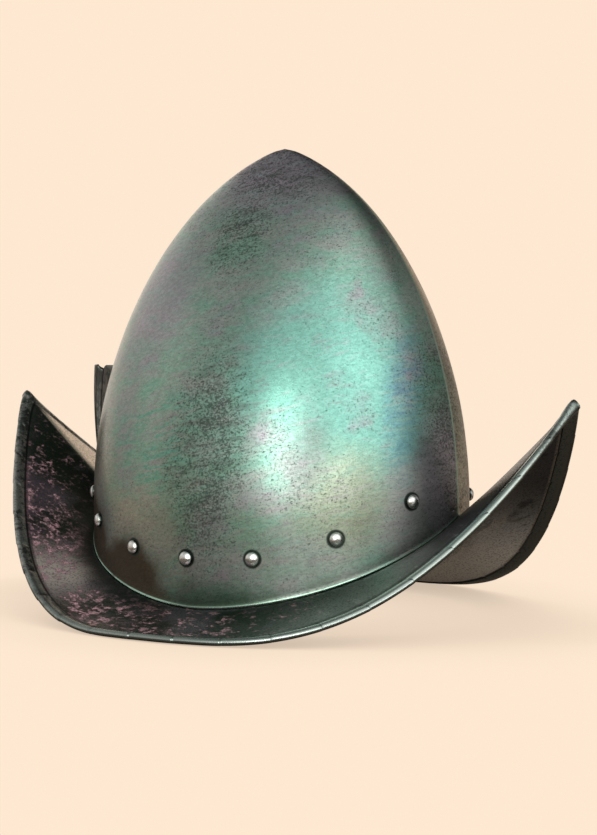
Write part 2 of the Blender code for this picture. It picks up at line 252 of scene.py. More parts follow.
stations = ridged_stations(SKULL_STATIONS)
columns = [skull_column(angle) for angle in stations]
skull_rings = [list(ring) for ring in zip(*(points for points, _ in columns))]
skull_over = [height for ring in zip(*(heights for _, heights in columns)) for height in ring]
point_tip = Vector((POINT_FORWARD, 0, SKULL_HIGH.z - TIP_SINK - 0.0002))
skull = make_mesh(
    "skull_bowl",
    skull_rings,
    tips=((0, point_tip), (-1, point_tip - 2.2 * SKULL_WALL * UP)),
    attributes={"over_rim": skull_over},
)
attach(skull, "root")
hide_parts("skull")


def put(tree, socket, value):
    if isinstance(value, bpy.types.NodeSocket):
        tree.links.new(value, socket)
    elif isinstance(value, tuple) and len(value) == 3 and socket.type == "RGBA":
        socket.default_value = (*value, 1)
    else:
        socket.default_value = value


def add_node(tree, kind, inputs=None, **settings):
    made = tree.nodes.new(kind)
    for key, value in settings.items():
        setattr(made, key, value)
    for key, value in (inputs or {}).items():
        put(tree, made.inputs[key], value)
    return made


def smooth_step(tree, value, low, high, from_value=0.0, to_value=1.0):
    """from_value up to low, to_value from high on, and a smooth change between them."""
    inputs = {
        "Value": value,
        "From Min": low,
        "From Max": high,
        "To Min": from_value,
        "To Max": to_value,
    }
    made = add_node(tree, "ShaderNodeMapRange", inputs, interpolation_type="SMOOTHSTEP")
    return made.outputs[0]


class Finish:
    """A material whose nodes are added one call at a time. Sockets are passed on by value."""

    def __init__(self, name):
        self.material = bpy.data.materials.new(name)
        self.material.use_nodes = True
        self.tree = self.material.node_tree
        self.shader = self.tree.nodes["Principled BSDF"]
        self.place = self.node("ShaderNodeTexCoord").outputs["Object"]
        self.mirrored = None

    def node(self, kind, inputs=None, **settings):
        return add_node(self.tree, kind, inputs, **settings)

    def sum(self, operation, a, b=0.0):
        return self.node("ShaderNodeMath", {0: a, 1: b}, operation=operation).outputs[0]

    def times(self, a, b):
        return self.sum("MULTIPLY", a, b)

    def plus(self, a, b):
        return self.sum("ADD", a, b)

    def minus(self, a, b):
        return self.sum("SUBTRACT", a, b)

    def rest_of(self, share):
        return self.sum("SUBTRACT", 1.0, share)

    def larger(self, a, b):
        return self.sum("MAXIMUM", a, b)

    def drawn(self, along, across, upward, tilt=0):
        """Places for marks drawn out by those factors that climb forward by tilt degrees."""
        inputs = {
            "Vector": self.place,
            "Rotation": (0, -math.radians(tilt), 0),
            "Scale": (along, across, upward),
        }
        return self.node("ShaderNodeMapping", inputs, vector_type="TEXTURE").outputs[0]

    def clouds(self, per_metre, detail=3.0, rough=0.55, distortion=0.0, place=None):
        inputs = {
            "Vector": place or self.place,
            "Scale": per_metre,
            "Detail": detail,
            "Roughness": rough,
            "Distortion": distortion,
        }
        return self.node("ShaderNodeTexNoise", inputs).outputs["Fac"]

    def step(self, *values):
        return smooth_step(self.tree, *values)

    def blend(self, share, a, b, how="MIX"):
        inputs = {"Factor": share, 6: a, 7: b}
        return self.node("ShaderNodeMix", inputs, data_type="RGBA", blend_type=how).outputs[2]

    def paint(self, share, tint, how="MIX"):
        self.colour = self.blend(share, self.colour, tint, how)

    def blend_value(self, share, first, second):
        """The same as blend for plain numbers."""
        kept = self.times(first, self.rest_of(share))
        return self.plus(kept, self.times(second, share))

    def near(self, centre, reach, soft=0.3, ragged=0.5):
        """1 about a place, down to 0 at reach on each axis, on both sides of the helmet."""
        if self.mirrored is None:
            parts = self.node("ShaderNodeSeparateXYZ", {0: self.place}).outputs
            inputs = {0: parts[0], 1: self.sum("ABSOLUTE", parts[1]), 2: parts[2]}
            self.mirrored = self.node("ShaderNodeCombineXYZ", inputs).outputs[0]
        inputs = {0: self.mirrored, 1: centre}
        made = self.node("ShaderNodeVectorMath", inputs, operation="SUBTRACT")
        made = self.node("ShaderNodeVectorMath", {0: made.outputs[0], 1: reach}, operation="DIVIDE")
        made = self.node("ShaderNodeVectorMath", {0: made.outputs[0]}, operation="LENGTH")
        uneven = self.times(self.minus(self.wander, 0.5), 2 * ragged)
        return self.step(self.plus(made.outputs["Value"], uneven), soft, 1.0, 1.0, 0.0)

    def paint_patches(self, tints):
        for tint, strength, *patch in tints:
            self.paint(self.times(self.near(*patch), strength), tint)

    def axis(self, number):
        return self.node("ShaderNodeSeparateXYZ", {0: self.place}).outputs[number]

    def attribute(self, name):
        return self.node("ShaderNodeAttribute", attribute_name=name).outputs["Fac"]

    def bump(self, height, strength, distance):
        inputs = {"Height": height, "Strength": strength, "Distance": distance}
        return self.node("ShaderNodeBump", inputs).outputs[0]

    def finish(self, roughness, normal, metallic=1.0):
        sockets = self.shader.inputs
        put(self.tree, sockets["Base Color"], self.colour)
        put(self.tree, sockets["Roughness"], roughness)
        put(self.tree, sockets["Metallic"], metallic)
        put(self.tree, sockets["Normal"], normal)
        return self.material


# degrees round from the front, the wearer's left counted positive
RIVET_ANGLES = (-157, -134.6, -111.6, -91.4, -71.4, -47.6, -22.7, 27, 50, 72, 92, 112.5, 135, 157.5)
RIVET_ABOVE_JOINT_SIDE = 0.0267
RIVET_ABOVE_JOINT_FRONT = 0.0187
RIVET_ABOVE_JOINT_REAR = 0.0119
RIVET_POWER_FRONT = 2.93
RIVET_POWER_REAR = 2.36
RIVET_HEAD_RADIUS = 0.0039


def rivet_height(angle):
    side = JOINT_SIDE + RIVET_ABOVE_JOINT_SIDE
    front = JOINT_FRONT + RIVET_ABOVE_JOINT_FRONT
    rear = JOINT_REAR + RIVET_ABOVE_JOINT_REAR
    power = RIVET_POWER_FRONT if math.cos(angle) > 0 else RIVET_POWER_REAR
    return towards_peak(angle, side, front, rear, abs(math.cos(angle)) ** power)


def seat_of(z, angle):
    """The place on the skull's outer face at that height, and the way out of it there."""
    t = share_at_height(z) if z > GIRTH_HEIGHT else 1.0
    return skull_point(t, angle, z), skull_normal(t, angle)


rivet_seats = [seat_of(rivet_height(math.radians(a)), math.radians(a)) for a in RIVET_ANGLES]

GREEN = (0.270, 0.430, 0.345)
TEAL = (0.215, 0.470, 0.400)
VIVID = (0.150, 0.410, 0.310)
GREY = (0.350, 0.400, 0.365)
MAUVE = (0.375, 0.335, 0.385)
LOW_GREY = (0.450, 0.460, 0.450)
BLUE = (0.130, 0.250, 0.360)
OLIVE = (0.360, 0.430, 0.330)
DUSKY = (0.240, 0.230, 0.235)
WARM_GREY = (0.440, 0.460, 0.400)
SAND = (0.430, 0.425, 0.375)
REFLECTED_TAN = (0.600, 0.510, 0.410)
DARK_GREEN = (0.050, 0.120, 0.075)
PLUM = (0.460, 0.370, 0.460)
SOOT_AND_SHADE = (0.022, 0.032, 0.027)
PAINTED_LOW_SHADE = (0.048, 0.036, 0.025)
RIM_DARKENING = (0.0535, 0.0460, 0.0335)
BARE_EDGE_AND_GLINT = (0.420, 0.620, 0.510)
LOW_SHADE_GLOSS = 0.08
# Where each patch lies: its middle and how far it reaches along, across and up, the same on
# both sides. Two more numbers, where given, say how soft and how ragged its edge is.
TEAL_FRONT = ((0.070, 0.060, 0.130), (0.080, 0.080, 0.100))
LOW_FLANK = ((0.100, 0.030, 0.062), (0.030, 0.040, 0.035), 0.4, 0.3)
VIVID_SPOT = ((-0.030, 0.085, 0.100), (0.040, 0.050, 0.040))
BLUE_BAND = ((0.096, 0.032, 0.130), (0.012, 0.030, 0.080), 0.2, 0.3)
LOW_SHADE_SIDE = ((-0.052, 0.080, 0.026), (0.056, 0.050, 0.036), 0.4, 0.4)
LOW_SHADE_REAR = ((-0.085, 0.060, 0.042), (0.044, 0.050, 0.042), 0.4, 0.3)
FLANK = ((0.112, 0.012, 0.120), (0.026, 0.032, 0.140), 0.3, 0.3)
FLANK_FOOT = ((0.115, 0.014, 0.058), (0.026, 0.032, 0.030), 0.3, 0.3)
PLUM_PATCH = ((0.112, 0.012, 0.085), (0.018, 0.030, 0.050), 0.3, 0.4)
MOTTLED_BAND = ((0.008, 0.092, 0.096), (0.034, 0.050, 0.100))
MOTTLED_APEX = ((0.010, 0.008, 0.255), (0.055, 0.050, 0.050))
MOTTLED_SHOULDER = ((-0.002, 0.045, 0.218), (0.028, 0.050, 0.045))
CALM_REAR = ((-0.060, 0.070, 0.150), (0.050, 0.080, 0.120), 0.4, 0.3)
# tints laid over each other in this order, each with its strength and its patch
TINTS = (
    (MAUVE, 1.0, (0.005, 0.012, 0.262), (0.070, 0.070, 0.060)),
    (MAUVE, 0.7, (-0.052, 0.060, 0.185), (0.045, 0.060, 0.060)),
    (LOW_GREY, 1.0, *LOW_FLANK),
    (OLIVE, 1.0, (0.075, 0.068, 0.070), (0.035, 0.040, 0.040)),
    (DUSKY, 0.5, (0.058, 0.079, 0.092), (0.018, 0.040, 0.036)),
    (WARM_GREY, 1.0, (-0.045, 0.085, 0.045), (0.045, 0.050, 0.035)),
    (SAND, 1.0, (-0.090, 0.055, 0.100), (0.035, 0.070, 0.120)),
)
LOW_TINTS = (
    # the first is painted shade just above the joint
    (DARK_GREEN, 0.85, (0.020, 0.094, 0.010), (0.066, 0.030, 0.025), 0.3, 0.3),
    (DUSKY, 0.4, (0.062, 0.080, 0.034), (0.050, 0.040, 0.030)),
)


def skull_finish():
    f = Finish("skull_steel")
    f.wander = f.clouds(26, 3, 0.6)
    wiped = f.clouds(90, 4, 0.6, 0.6, f.drawn(2.6, 2.6, 1.0, 14))
    streaks = f.clouds(330, 4, 0.6, 0.5, f.drawn(5, 5, 1.0, 14))
    hairs = f.clouds(800, 4, 0.65, 0.6, f.drawn(2.4, 2.4, 1.0, 14))
    spots = f.clouds(980, 4, 0.74, 0.4, f.drawn(1.4, 1.4, 1.0, 18))
    grain = f.clouds(1400, 2, 0.6)

    # the tempering colours
    f.colour = f.blend(f.step(wiped, 0.40, 0.62), GREEN, GREY)
    f.paint(f.near(*TEAL_FRONT), TEAL)
    tinged = f.times(f.step(f.wander, 0.50, 0.66), f.step(wiped, 0.36, 0.56, 1, 0.25))
    f.paint(f.times(tinged, 0.85), MAUVE)
    f.paint_patches(TINTS)
    lively = f.times(f.near(*VIVID_SPOT), f.step(streaks, 0.46, 0.62))
    f.paint(f.times(lively, 0.75), VIVID)
    f.paint(f.step(streaks, 0.50, 0.68, 0, 0.30), TEAL)
    f.paint(f.step(streaks, 0.32, 0.48, 0.35, 0), MAUVE)
    bluish = f.times(f.near(*BLUE_BAND), f.step(streaks, 0.36, 0.60, 0.15, 0.65))
    f.paint(bluish, BLUE)
    f.paint_patches(LOW_TINTS)

    # painted shade low down where the brim shades the skull, most of it towards the rear, and the
    # skull darker towards the rim
    low_shade = f.larger(f.near(*LOW_SHADE_SIDE), f.near(*LOW_SHADE_REAR))
    f.paint(low_shade, PAINTED_LOW_SHADE)
    over_rim = f.attribute("over_rim")
    low = f.step(f.plus(over_rim, f.times(f.wander, 0.012)), 0.004, 0.016, 0.6, 0)
    f.paint(low, RIM_DARKENING)

    # painted shade on the flank beside the front ridge, and on the far side of it a painted
    # reflection of the pale backdrop, dark green near the top
    near_side = f.step(f.axis(1), -0.002, 0.001, 1, 0)
    flank = f.near(*FLANK)
    shaded = f.plus(f.times(flank, 0.35), f.times(f.near(*FLANK_FOOT), 0.35))
    f.paint(f.times(shaded, near_side), DARK_GREEN)
    plum = f.times(f.times(f.near(*PLUM_PATCH), near_side), 0.6)
    f.paint(plum, PLUM)
    far_front_reflection = f.times(f.step(f.axis(0), 0.03, 0.07), f.rest_of(near_side))
    far_colour = f.blend(f.step(f.axis(2), 0.19, 0.225), REFLECTED_TAN, DARK_GREEN)
    f.paint(f.times(far_front_reflection, 0.7), far_colour)

    # pits and specks, thickest in the mottled patches
    mottled = f.larger(f.near(*MOTTLED_BAND), f.times(flank, 0.8))
    mottled = f.larger(mottled, f.near(*MOTTLED_APEX))
    mottled = f.larger(mottled, f.near(*MOTTLED_SHOULDER))
    density = f.times(mottled, 0.12)
    density = f.plus(density, f.step(f.wander, 0.42, 0.60, 0.01, 0.07))
    density = f.minus(density, f.times(f.near(*CALM_REAR), 0.09))
    veined = f.times(mottled, f.step(streaks, 0.38, 0.54, 0.4, 0))
    f.paint(veined, DARK_GREEN)
    pitted = f.step(f.minus(spots, density), 0.28, 0.39, 0.70, 0)
    f.paint(pitted, SOOT_AND_SHADE)
    f.paint(f.step(grain, 0.32, 0.44, 0.35, 0), SOOT_AND_SHADE)
    lit = f.blend(f.step(hairs, 0.32, 0.68), (0.84,) * 3, (1.16,) * 3)
    f.paint(1.0, lit, "MULTIPLY")

    # a painted glint along the front ridge line, dark rings of painted shadow and grime round the
    # rivets, and the filed rim
    ridge = f.step(f.sum("ABSOLUTE", f.axis(1)), 0.0005, 0.0013, 0.7, 0)
    ridge = f.times(ridge, f.step(f.axis(0), 0.03, 0.08))
    f.paint(ridge, BARE_EDGE_AND_GLINT)
    ring = None
    for point, _ in rivet_seats:
        made = f.node("ShaderNodeVectorMath", {0: f.place, 1: point}, operation="DISTANCE")
        away = made.outputs["Value"]
        ring = away if ring is None else f.sum("MINIMUM", ring, away)
    f.paint(f.step(ring, 0.0046, 0.0056, 0.95, 0.0), SOOT_AND_SHADE)
    edge = f.step(over_rim, 0.0009, 0.0016, 1, 0)
    edge = f.times(edge, f.step(streaks, 0.34, 0.52, 0.45, 1))
    f.paint(edge, BARE_EDGE_AND_GLINT)

    rough = f.step(spots, 0.35, 0.65, 0.36, 0.27)
    rough = f.plus(rough, f.step(f.wander, 0.3, 0.7, -0.03, 0.05))
    rough = f.plus(rough, f.times(pitted, 0.12))
    rough = f.plus(rough, f.times(mottled, 0.10))
    rough = f.plus(rough, f.times(f.near(*LOW_FLANK), 0.13))
    rough = f.minus(rough, f.times(edge, 0.06))
    height = f.plus(f.times(grain, 0.45), f.times(hairs, 0.35))
    height = f.minus(height, f.times(pitted, 0.5))
    # the painted low shade is made mostly not metallic, with little gloss
    metal = f.rest_of(f.times(low_shade, 0.85))
    f.shader.inputs["Specular IOR Level"].default_value = LOW_SHADE_GLOSS
    return f.finish(rough, f.bump(height, 0.30, 0.00010), metal)


skull.data.materials.append(skull_finish())

# The brim
# A flat blank is creased along the peaks and dished into a boat, with its inner edge turned up
# into a collar that the rivets hold inside the skull. The outer edge is rolled under, tab by
# tab, so small steps and dents show where one tab ends and the next begins.
BRIM_LOW, BRIM_HIGH = (Vector(corner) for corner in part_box("brim"))
BRIM_WALL = 0.0013
PEAK_FRONT = 0.1237        # height of the tips
PEAK_REAR = 0.1206
FLAT_SHARE_FRONT = 0.06    # share of the half length that lies on the floor
FLAT_SHARE_REAR = 0.13
LEAN_FROM = 0.13           # share of the half length where the roll starts to lean
LEAN_SHARE = 0.60          # and leans fully at this one
RISE_POWER_FRONT = 3.22    # the edge's climb to the tip
RISE_POWER_REAR = 2.39
PLAN_POWER_FRONT = 2.11    # roundness of the edge seen from above
PLAN_POWER_REAR = 2.45
PLAN_POINT_FRONT = 0.93    # sharpness of the tips seen from above
PLAN_POINT_REAR = 1.00
HOLLOW_SIDE = 0.0012       # depth of the brim's hollow between joint and edge
HOLLOW_FRONT = 0.0016
HOLLOW_REAR = 0.0010
ROLL_WIDTH = 0.0066
ROLL_THICKNESS = 0.0040
SHARPEST_ROLL = 0.55
NEAR_TIP = math.radians(4)
BLUNT_REACH = math.radians(9)  # the roll is hammered blunt at the two peaks
BLUNT_SHARE = 0.85
BLUNT_THICKER = 0.75
BLUNT_DRAWN_BACK = 0.0019
JOINT_GAP = 0.00035
COLLAR_GAP = 0.00045
COLLAR_CLOSER = 0.00025    # the collar is hammered home this far
COLLAR_ABOVE_RIVETS = 0.0065
TABS_A_SIDE = 21
TAB_STATIONS = (0.0, 0.03, 0.09, 0.18, 0.3, 0.43, 0.56, 0.69, 0.8, 0.89, 0.95, 0.985)
TAB_STEP = 0.00066         # how far one tab stands out beyond the next
TAB_DENT = 0.00040         # depth of the dent on top where two tabs meet
TAB_NOTCH = 0.0016         # how far the flap under the brim is drawn back there
TAB_END = 0.035            # how soon these fade from the tab's end, as a share of the tab
TAB_UNEVEN = 0.16          # how far the tabs' lengths differ
DULLED_AT_END = 0.74       # the bright crown of the roll stops short of a tab's end
PLATE_ROWS = 26
COLLAR_ROWS = 6
BRIM_WAVE_DEPTH = 0.00040
BRIM_WAVE = 0.030
# The rolled edge in section, from the top of the plate round to its underside: how far in
# from the outer line as a share of the roll's width, and how far up as a share of half its
# thickness.
ROLL_SECTION = (
    (1.42, 0.34), (1.26, 0.30), (1.12, 0.30), (1.00, 0.42), (0.88, 0.62), (0.72, 0.83),
    (0.54, 0.96), (0.36, 0.97), (0.20, 0.82), (0.08, 0.54), (0.01, 0.18), (0.01, -0.22),
    (0.08, -0.58), (0.22, -0.86), (0.42, -0.98), (0.66, -1.00), (0.92, -0.97), (1.18, -0.93),
    (1.30, -0.86), (1.35, -0.70), (1.36, -0.42), (1.40, -0.34),
)


def edge_point(angle):
    """The outer line of the brim's edge."""
    front = math.cos(angle) > 0
    along = abs(math.cos(angle))
    rise_power = RISE_POWER_FRONT if front else RISE_POWER_REAR
    plan_power = PLAN_POWER_FRONT if front else PLAN_POWER_REAR
    plan_point = PLAN_POINT_FRONT if front else PLAN_POINT_REAR
    height = PEAK_FRONT if front else PEAK_REAR
    flat = FLAT_SHARE_FRONT if front else FLAT_SHARE_REAR
    rise = max(0.0, (along - flat) / (1 - flat)) ** rise_power
    across = max(0.0, 1 - along**plan_power) ** plan_point
    x = BRIM_HIGH.x * math.cos(angle)
    return Vector((x, math.copysign(BRIM_HIGH.y * across, math.sin(angle)), height * rise))


def plate_start(angle):
    """The middle of the plate straight under the skull's outer face."""
    return skull_point(1, angle, joint_height(angle)) - (JOINT_GAP + BRIM_WALL / 2) * UP


def roll_frame(angle):
    """The outer line, outward and upward half axes of the rolled edge at a station."""
    edge = edge_point(angle)
    outward = (edge - plate_start(angle)).normalized()
    aside = math.remainder(angle, math.pi)
    near = angle - aside + math.copysign(max(abs(aside), NEAR_TIP), aside)
    along = (edge_point(near + STEP) - edge_point(near - STEP)).normalized()
    sharpness = max(along.cross(outward).length, SHARPEST_ROLL)
    level = Vector((outward.x, outward.y, 0)).normalized()
    lean = (abs(math.cos(angle)) - LEAN_FROM) / (LEAN_SHARE - LEAN_FROM)
    share = min(1.0, max(0.0, lean))
    direction = level.lerp(outward, share).normalized()
    around = edge_point(angle + STEP) - edge_point(angle - STEP)
    if around.length < STEP * STEP:
        around = Vector((0, math.copysign(1, math.cos(angle)), 0))
    leaning = around.cross(direction).normalized()
    if leaning.z < 0:
        leaning.negate()
    upright = (UP - direction * direction.z).normalized()
    across = upright.lerp(leaning, share)
    across = (across - direction * across.dot(direction)).normalized()
    foot = ROLL_THICKNESS / 2 * (1 - share) * UP
    return edge + foot, ROLL_WIDTH / sharpness * direction, ROLL_THICKNESS / 2 * across


def roll_place(angle, inward, rise):
    edge, width, half_thickness = roll_frame(angle)
    return edge - inward * width + rise * half_thickness


def plate_middle(angle, share):
    end = roll_place(angle, ROLL_SECTION[0][0], 0)
    hollow_share = math.cos(angle) ** 2
    hollow = towards_peak(angle, HOLLOW_SIDE, HOLLOW_FRONT, HOLLOW_REAR, hollow_share)
    return plate_start(angle).lerp(end, share) - 4 * hollow * share * (1 - share) * UP


def plate_normal(angle, share):
    around = plate_middle(angle + STEP, share) - plate_middle(angle - STEP, share)
    outward = plate_middle(angle, share + STEP) - plate_middle(angle, share - STEP)
    return outward.cross(around).normalized()


def tab_stations():
    """Angles that follow the tabs round the edge, with each one's place along its tab."""
    fine = 4000
    angles = [math.pi * i / fine for i in range(fine + 1)]
    lengths = [0.0]
    for a, b in zip(angles, angles[1:]):
        lengths.append(lengths[-1] + (edge_point(b) - edge_point(a)).length)
    found, i = [], 0
    for tab in range(TABS_A_SIDE):
        uneven = TAB_UNEVEN * noise.noise(Vector((tab * 1.7, 3.1, 0.4)))
        for place in TAB_STATIONS:
            bent = place + (uneven * place * (1 - place) if 0 < place < 1 else 0)
            target = lengths[-1] * (tab + bent) / TABS_A_SIDE
            while lengths[i + 1] < target:
                i += 1
            share = (target - lengths[i]) / (lengths[i + 1] - lengths[i])
            found.append((angles[i] + share * (angles[i + 1] - angles[i]), tab, place))
    there = found + [(math.pi, TABS_A_SIDE, 0.0)]
    back = [(2 * math.pi - a, tab + TABS_A_SIDE, place) for a, tab, place in found[:0:-1]]
    return there + back


def brim_section(angle, tab, place):
    """The closed outline at one station, with each point's place in the roll and its side."""
    joint, rivet = joint_height(angle), rivet_height(angle)
    ends = min(place, 1 - place)
    at_end = math.exp(-ends / TAB_END)
    own = noise.noise(Vector((tab * 2.3, 7.7, 1.9)))
    stands_out = TAB_STEP * (1 - place) * (0.7 + 0.5 * own)
    edge, width, half_thickness = roll_frame(angle)
    outward = width.normalized()

    at_tip = math.exp(-((math.remainder(angle, math.pi) / BLUNT_REACH) ** 2))
    edge = edge - BLUNT_DRAWN_BACK * at_tip * outward
    half_thickness = half_thickness * (1 + BLUNT_THICKER * at_tip)

    def in_roll(inward, rise):
        inner = max(0.0, 1 - abs(inward - 0.75) / 0.7)
        inward = inward - BLUNT_SHARE * at_tip * inward * max(0.0, 1 - inward / 0.7)
        point = edge - inward * width + rise * half_thickness
        if rise > 0:
            point -= TAB_DENT * at_end * inner * half_thickness.normalized()
        if rise < -0.3 and inward > 0.8:
            point += TAB_NOTCH * at_end * outward
        outer = max(0.0, 1 - inward / 0.6)
        return point - (TAB_STEP - stands_out) * outer * outward

    middles = []
    for row in range(PLATE_ROWS):
        share = row / PLATE_ROWS
        point, normal = plate_middle(angle, share), plate_normal(angle, share)
        calm = math.sin(math.pi * share)
        wave = BRIM_WAVE_DEPTH * calm * noise.noise(point / BRIM_WAVE)
        middles.append((point + wave * normal, normal))
    half = BRIM_WALL / 2
    collar_depth = SKULL_WALL + HAMMER_DEPTH + COLLAR_GAP - COLLAR_CLOSER
    rises = [i / (COLLAR_ROWS - 1) for i in range(COLLAR_ROWS)]
    collar_top = rivet + COLLAR_ABOVE_RIVETS

    def collar(depth, share):
        z = joint + (collar_top - joint) * share
        point, normal = seat_of(z, angle)
        return point - (collar_depth + depth) * normal

    # point, its place from the edge inwards (1 the end of the roll, 2 to 3 the plate up to the
    # joint, 3 the collar), and 1 on the underside
    outline = [(collar(0, share), 3, 0) for share in rises[:0:-1]]
    outline.append((collar(0, 0) - JOINT_GAP * UP, 3, 0))
    for row, (point, normal) in enumerate(middles):
        outline.append((point + half * normal, 3 - row / PLATE_ROWS, 0))
    for inward, rise in ROLL_SECTION:
        under = min(1.0, max(0.0, -0.1 - rise) / 0.5)
        dulled = min(DULLED_AT_END, 1.2 * at_end)
        outline.append((in_roll(inward, rise), max(inward, dulled), under))
    outline += [(point - half * normal, 2, 1) for point, normal in reversed(middles)]
    outline.append((collar(BRIM_WALL, 0) - (JOINT_GAP + BRIM_WALL) * UP, 3, 1))
    outline += [(collar(BRIM_WALL, share), 3, 1) for share in rises[1:]]
    return outline


brim_sections = [brim_section(*station) for station in tab_stations()]
brim = make_mesh(
    "brim_plate",
    [[point for point, _, _ in section] for section in brim_sections],
    closed_both_ways=True,
    attributes={
        "inward": [inward for section in brim_sections for _, inward, _ in section],
        "underside": [under for section in brim_sections for _, _, under in section],
    },
)
brim.data.set_sharp_from_angle(angle=math.radians(50))
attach(brim, "root")
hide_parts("brim")

BLACKED = (0.130, 0.130, 0.120)
DEEP_GREEN = (0.055, 0.085, 0.060)
PURPLE = (0.330, 0.275, 0.340)
ROSE = (0.700, 0.390, 0.450)
FADED_ROSE = (0.340, 0.240, 0.270)
FLOOR_SHEEN_GREY = (0.680, 0.610, 0.560)
LEADEN = (0.110, 0.130, 0.115)
NEARLY_BLACK = (0.026, 0.023, 0.025)
PALE_REFLECTION = (0.900, 0.820, 0.720)
ROLL_GREEN = (0.260, 0.300, 0.280)
ROLL_DARK = (0.055, 0.062, 0.055)
SCALE_GREY = (0.500, 0.510, 0.480)
BURNISHED = (0.400, 0.460, 0.430)
FLAP_GREY = (0.190, 0.205, 0.190)
DULL = (0.560, 0.590, 0.610)
SMOKED = (0.660, 0.660, 0.640)
SHEEN = ((-0.100, 0.088, 0.018), (0.054, 0.045, 0.036), 0.2, 0.3)
OUTER_REAR = ((-0.160, 0.060, 0.075), (0.050, 0.055, 0.060), 0.4, 0.4)
CREASE = ((-0.128, 0.008, 0.085), (0.060, 0.040, 0.060), 0.5, 0.3)
RUBBED_PEAK = ((-0.152, 0.075, 0.060), (0.070, 0.070, 0.080), 0.3, 0.4)
RUBBED_MIDDLE = ((-0.108, 0.078, 0.034), (0.045, 0.045, 0.040), 0.4, 0.4)
RUBBED_LOW = ((-0.030, 0.118, 0.006), (0.090, 0.040, 0.030), 0.5, 0.4)


